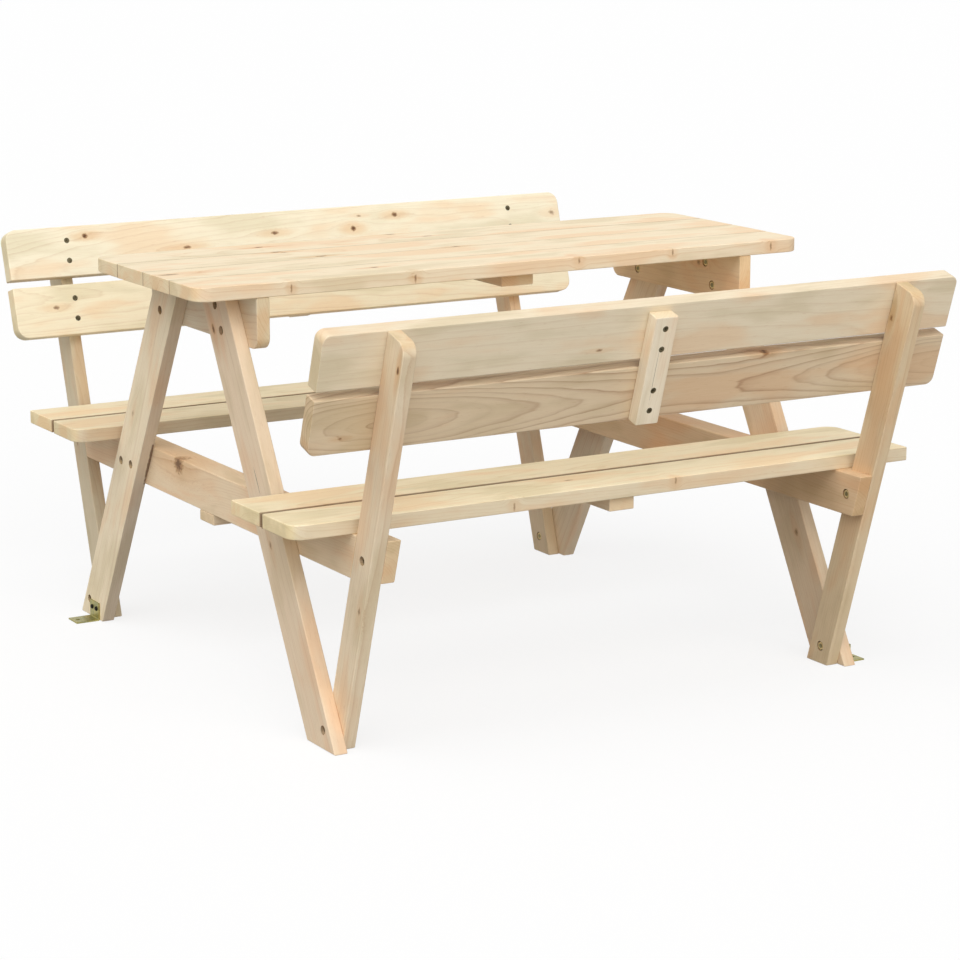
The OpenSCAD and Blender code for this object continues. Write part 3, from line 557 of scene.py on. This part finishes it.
# Backrests: two slats on each side, screwed to the fronts of the posts, the pair's outer corners rounded.
# The near pair is seen from behind, and its lower slat has bold arches where the saw ran close to the pith.
BACK_EARLY = (252, 238, 212)
BACK_LATE = (220, 188, 150)
ARCHED_LATE = (186, 148, 118)
slats = (
    ("backrest_near_lower", -1, ARCHED_LATE, dict(
        pith=(60, -3, -31), bow=(0, 2.4e-4), ring=6.0, seed=31.5, contrast=0.9, cast=(0.905, 0.87, 0.825),
        knots=[((-410, -16, 10), (3, 2, 30), 0.5), ((172, 35, 6), (6, 3, 8), 0.8)])),
    ("backrest_near_upper", -1, BACK_LATE, dict(
        pith=(-120, -60, -70), lean=(0.02, -0.03), bow=(0, -3e-5), ring=5.2, seed=33.0, contrast=0.3,
        cast=(0.955, 0.95, 0.935), joints=[-1], knots=[((-76, -18, 10), (5, 1.8, 30), 0.6)])),
    ("backrest_far_lower", 1, BACK_LATE, dict(
        pith=(80, 12, -50), lean=(-0.02, 0.02), bow=(0, 6e-5), seed=34.2, contrast=0.45, cast=(1.01, 1.02, 1),
        knots=[((-390, 4, 9), (5, 3, 30), 0.6)])),
    ("backrest_far_upper", 1, BACK_LATE, dict(
        pith=(-60, -18, -44), lean=(0.03, 0.02), bow=(0, -6e-5), ring=3.6, seed=36.1, contrast=0.45,
        cast=(1, 1.02, 1.02), joints=[-1],
        knots=[((-332, 20, 9), (4.5, 3.6, 30), 0.9), ((-37, 4, 9), (6, 3, 30), 0.75),
               ((-179, -7, 9), (7, 2.4, 30), 0.7), ((92, 2, 9), (4.5, 4.5, 30), 0.9),
               ((104, 20, 9), (4, 2, 30), 0.5), ((164, 18, 9), (5, 3.5, 30), 0.8),
               ((436, 4, 9), (5, 4, 30), 0.45)])),
)
for name, side, late, wood in slats:
    slat = planed(name)
    front = (0, -cos(POST_SLANT), side * sin(POST_SLANT))
    # Painted shade darkens the edge along the gap between the two slats.
    pine(slat, LENGTHWAYS, front, BACK_EARLY, late, painted_joint_shade=0.3, **wood)

# Cleats: a short planed upright on the back of each backrest ties its two slats together.
# Four screws go in from the back, and a fine drying crack runs between them.
for side, name in ((-1, "backrest_cleat_near"), (1, "backrest_cleat_far")):
    cleat = planed(name)
    up = (0, side * sin(POST_SLANT), cos(POST_SLANT))
    back = (0, side * cos(POST_SLANT), -sin(POST_SLANT))
    pine(cleat, up, back, BACK_EARLY, BACK_LATE, pith=(0, 26, -30), lean=(0.02, 0.02), seed=38.0 + side,
         contrast=0.4, cracks_and_painted_shade=[((-6, 3, 9), (34, 0.4, 5), 0.5)])


# Bolts: zinc-plated machine bolts with socket heads sunk in counterbores, dulled by handling, with plain
# washers and hexagon nuts in round recesses on the inner faces.
BOLT_ARRIS = 0.0004
SMALL_ARRIS = 0.0002
PATCH_WAVES = 260.0
PATCH_DETAIL = 3.0
PATCH_EDGE = (0.35, 0.65)
WEAR_FINER = 4
WEAR_GRAIN = (4.0, 0.6)
WEAR_EDGE = (0.3, 0.7)
HANDLED = tint(150, 140, 126)
HANDLED_SHOWS = (0.45, 0.75, 0.0, 0.45)
POLISHED = 0.08
DULLED = 0.14
WEAR_STRENGTH = 0.25
WEAR_HEIGHT = 0.1 * MM


def plated(name, base, drifted, rough, waves=PATCH_WAVES):
    """Plated steel: the plating's colour drifts in patches, and its gloss is broken by fine wear."""
    material = bpy.data.materials.new(name)
    material.use_nodes = True
    tree = material.node_tree
    shader = tree.nodes["Principled BSDF"]
    place = put(tree, "TexCoord").outputs["Object"]
    drift = ramp(tree, noise(tree, place, waves, PATCH_DETAIL), *PATCH_EDGE)
    wear = noise(tree, place, waves * WEAR_FINER, *WEAR_GRAIN)
    colour = blend_colours(tree, "MIX", drift, tint(*base), tint(*drifted))
    handled = ramp(tree, wear, *HANDLED_SHOWS)
    tree.links.new(blend_colours(tree, "MULTIPLY", handled, colour, HANDLED), shader.inputs["Base Color"])
    gloss = ramp(tree, wear, *WEAR_EDGE, rough - POLISHED, rough + DULLED, "LINEAR")
    tree.links.new(gloss, shader.inputs["Roughness"])
    relief = put(tree, "Bump", {"Strength": WEAR_STRENGTH, "Distance": WEAR_HEIGHT, "Height": wear})
    tree.links.new(relief.outputs["Normal"], shader.inputs["Normal"])
    shader.inputs["Metallic"].default_value = 1.0
    return material


def hardware(node, material, ease=SMALL_ARRIS):
    piece = planed(node, ease=ease)
    piece.data.materials.clear()
    piece.data.materials.append(material)


bolt_zinc = plated("bolt_zinc", (138, 128, 90), (108, 100, 68), 0.45)
for node in ("leg_top_bolts", "bearer_bolts", "post_bolts", "foot_bolts"):
    hardware(node, bolt_zinc, BOLT_ARRIS)
washer_zinc = plated("washer_zinc", (124, 110, 76), (94, 82, 54), 0.5)
hardware("bolt_washers", washer_zinc)
nut_zinc = plated("nut_zinc_yellow", (208, 184, 134), (186, 160, 110), 0.42)
hardware("bolt_nuts", nut_zinc, BOLT_ARRIS)

# Screws: countersunk cross-head wood screws in dark passivated steel, all set flush or a little deep. The
# pan-headed ones that hold the ground anchors are blackened.
screw_dark = plated("screw_dark", (108, 100, 78), (78, 70, 52), 0.42)
for node in ("table_screws", "seat_screws", "batten_screws", "stretcher_screws", "backrest_screws",
             "cleat_screws"):
    hardware(node, screw_dark)
screw_black = plated("screw_black", (44, 42, 36), (30, 28, 24), 0.5)
hardware("anchor_screws", screw_black)

# Ground anchors: two bent steel plates with yellow passivated zinc at opposite feet, each screwed to its
# leg, with a hole in the floor leaf for a peg.
anchor_yellow = plated("anchor_yellow", (176, 166, 100), (148, 146, 96), 0.34, waves=120.0)
for node in ("ground_anchor_far_left", "ground_anchor_near_right"):
    hardware(node, anchor_yellow, BOLT_ARRIS)


# The studio: a white floor that keeps the shadow and gives back less light than it shows, an even white
# surround, a broad lamp in front and a higher one on the left.
FLOOR_REACH = 30
FLOOR_DROP = 0.4 * MM
FLOOR_BOUNCE = (0.33, 0.33, 0.33, 1)
FLOOR_SHOWN = (0.97, 0.97, 0.97, 1)
FLOOR_GLOW = 0.8
SURROUND_LIGHT = 0.36
PURE_WHITE = (1, 1, 1, 1)


def seen(tree):
    """One where the camera sees a surface, straight or in a gloss, and nothing where light bounces off it."""
    rays = put(tree, "LightPath").outputs
    through = maths(tree, "MAXIMUM", rays["Is Glossy Ray"], rays["Is Transmission Ray"])
    return maths(tree, "MAXIMUM", rays["Is Camera Ray"], through)


floor_mesh = bpy.data.meshes.new("studio_floor")
bm = bmesh.new()
bmesh.ops.create_grid(bm, x_segments=1, y_segments=1, size=FLOOR_REACH)
bm.to_mesh(floor_mesh)
bm.free()
studio_floor = bpy.data.objects.new("studio_floor", floor_mesh)
studio_floor.location = (0, 0, -FLOOR_DROP)
scene.collection.objects.link(studio_floor)
white = bpy.data.materials.new("studio_white")
white.use_nodes = True
tree = white.node_tree
shader = tree.nodes["Principled BSDF"]
shown = seen(tree)
tree.links.new(blend_colours(tree, "MIX", shown, FLOOR_BOUNCE, FLOOR_SHOWN), shader.inputs["Base Color"])
shader.inputs["Roughness"].default_value = 1.0
shader.inputs["Specular IOR Level"].default_value = 0.0
glow = put(tree, "Emission", {"Color": PURE_WHITE, "Strength": 1.0}).outputs[0]
lit = put(tree, "MixShader", {0: maths(tree, "MULTIPLY", shown, FLOOR_GLOW), 1: shader.outputs[0], 2: glow})
tree.links.new(lit.outputs[0], tree.nodes["Material Output"].inputs["Surface"])
floor_mesh.materials.append(white)

surround = bpy.data.worlds.new("studio_surround")
surround.use_nodes = True
scene.world = surround
tree = surround.node_tree
tree.nodes.clear()
level = ramp(tree, seen(tree), 0, 1, SURROUND_LIGHT, 1.0, "LINEAR")
even = put(tree, "Background", {"Color": PURE_WHITE, "Strength": level})
tree.links.new(even.outputs[0], put(tree, "OutputWorld").inputs["Surface"])

lamps = (
    # name, strength, breadth in degrees, the way it shines
    ("front_lamp", 1.71, 60, (0.08, 0.46, -0.28)),
    ("left_lamp", 1.48, 70, (0.30, 0.04, -0.36)),
)
for name, strength, breadth, heading in lamps:
    lamp = bpy.data.objects.new(name, bpy.data.lights.new(name, "SUN"))
    lamp.data.energy = strength
    lamp.data.angle = radians(breadth)
    lamp.rotation_euler = Vector(heading).to_track_quat("-Z", "Y").to_euler()
    scene.collection.objects.link(lamp)
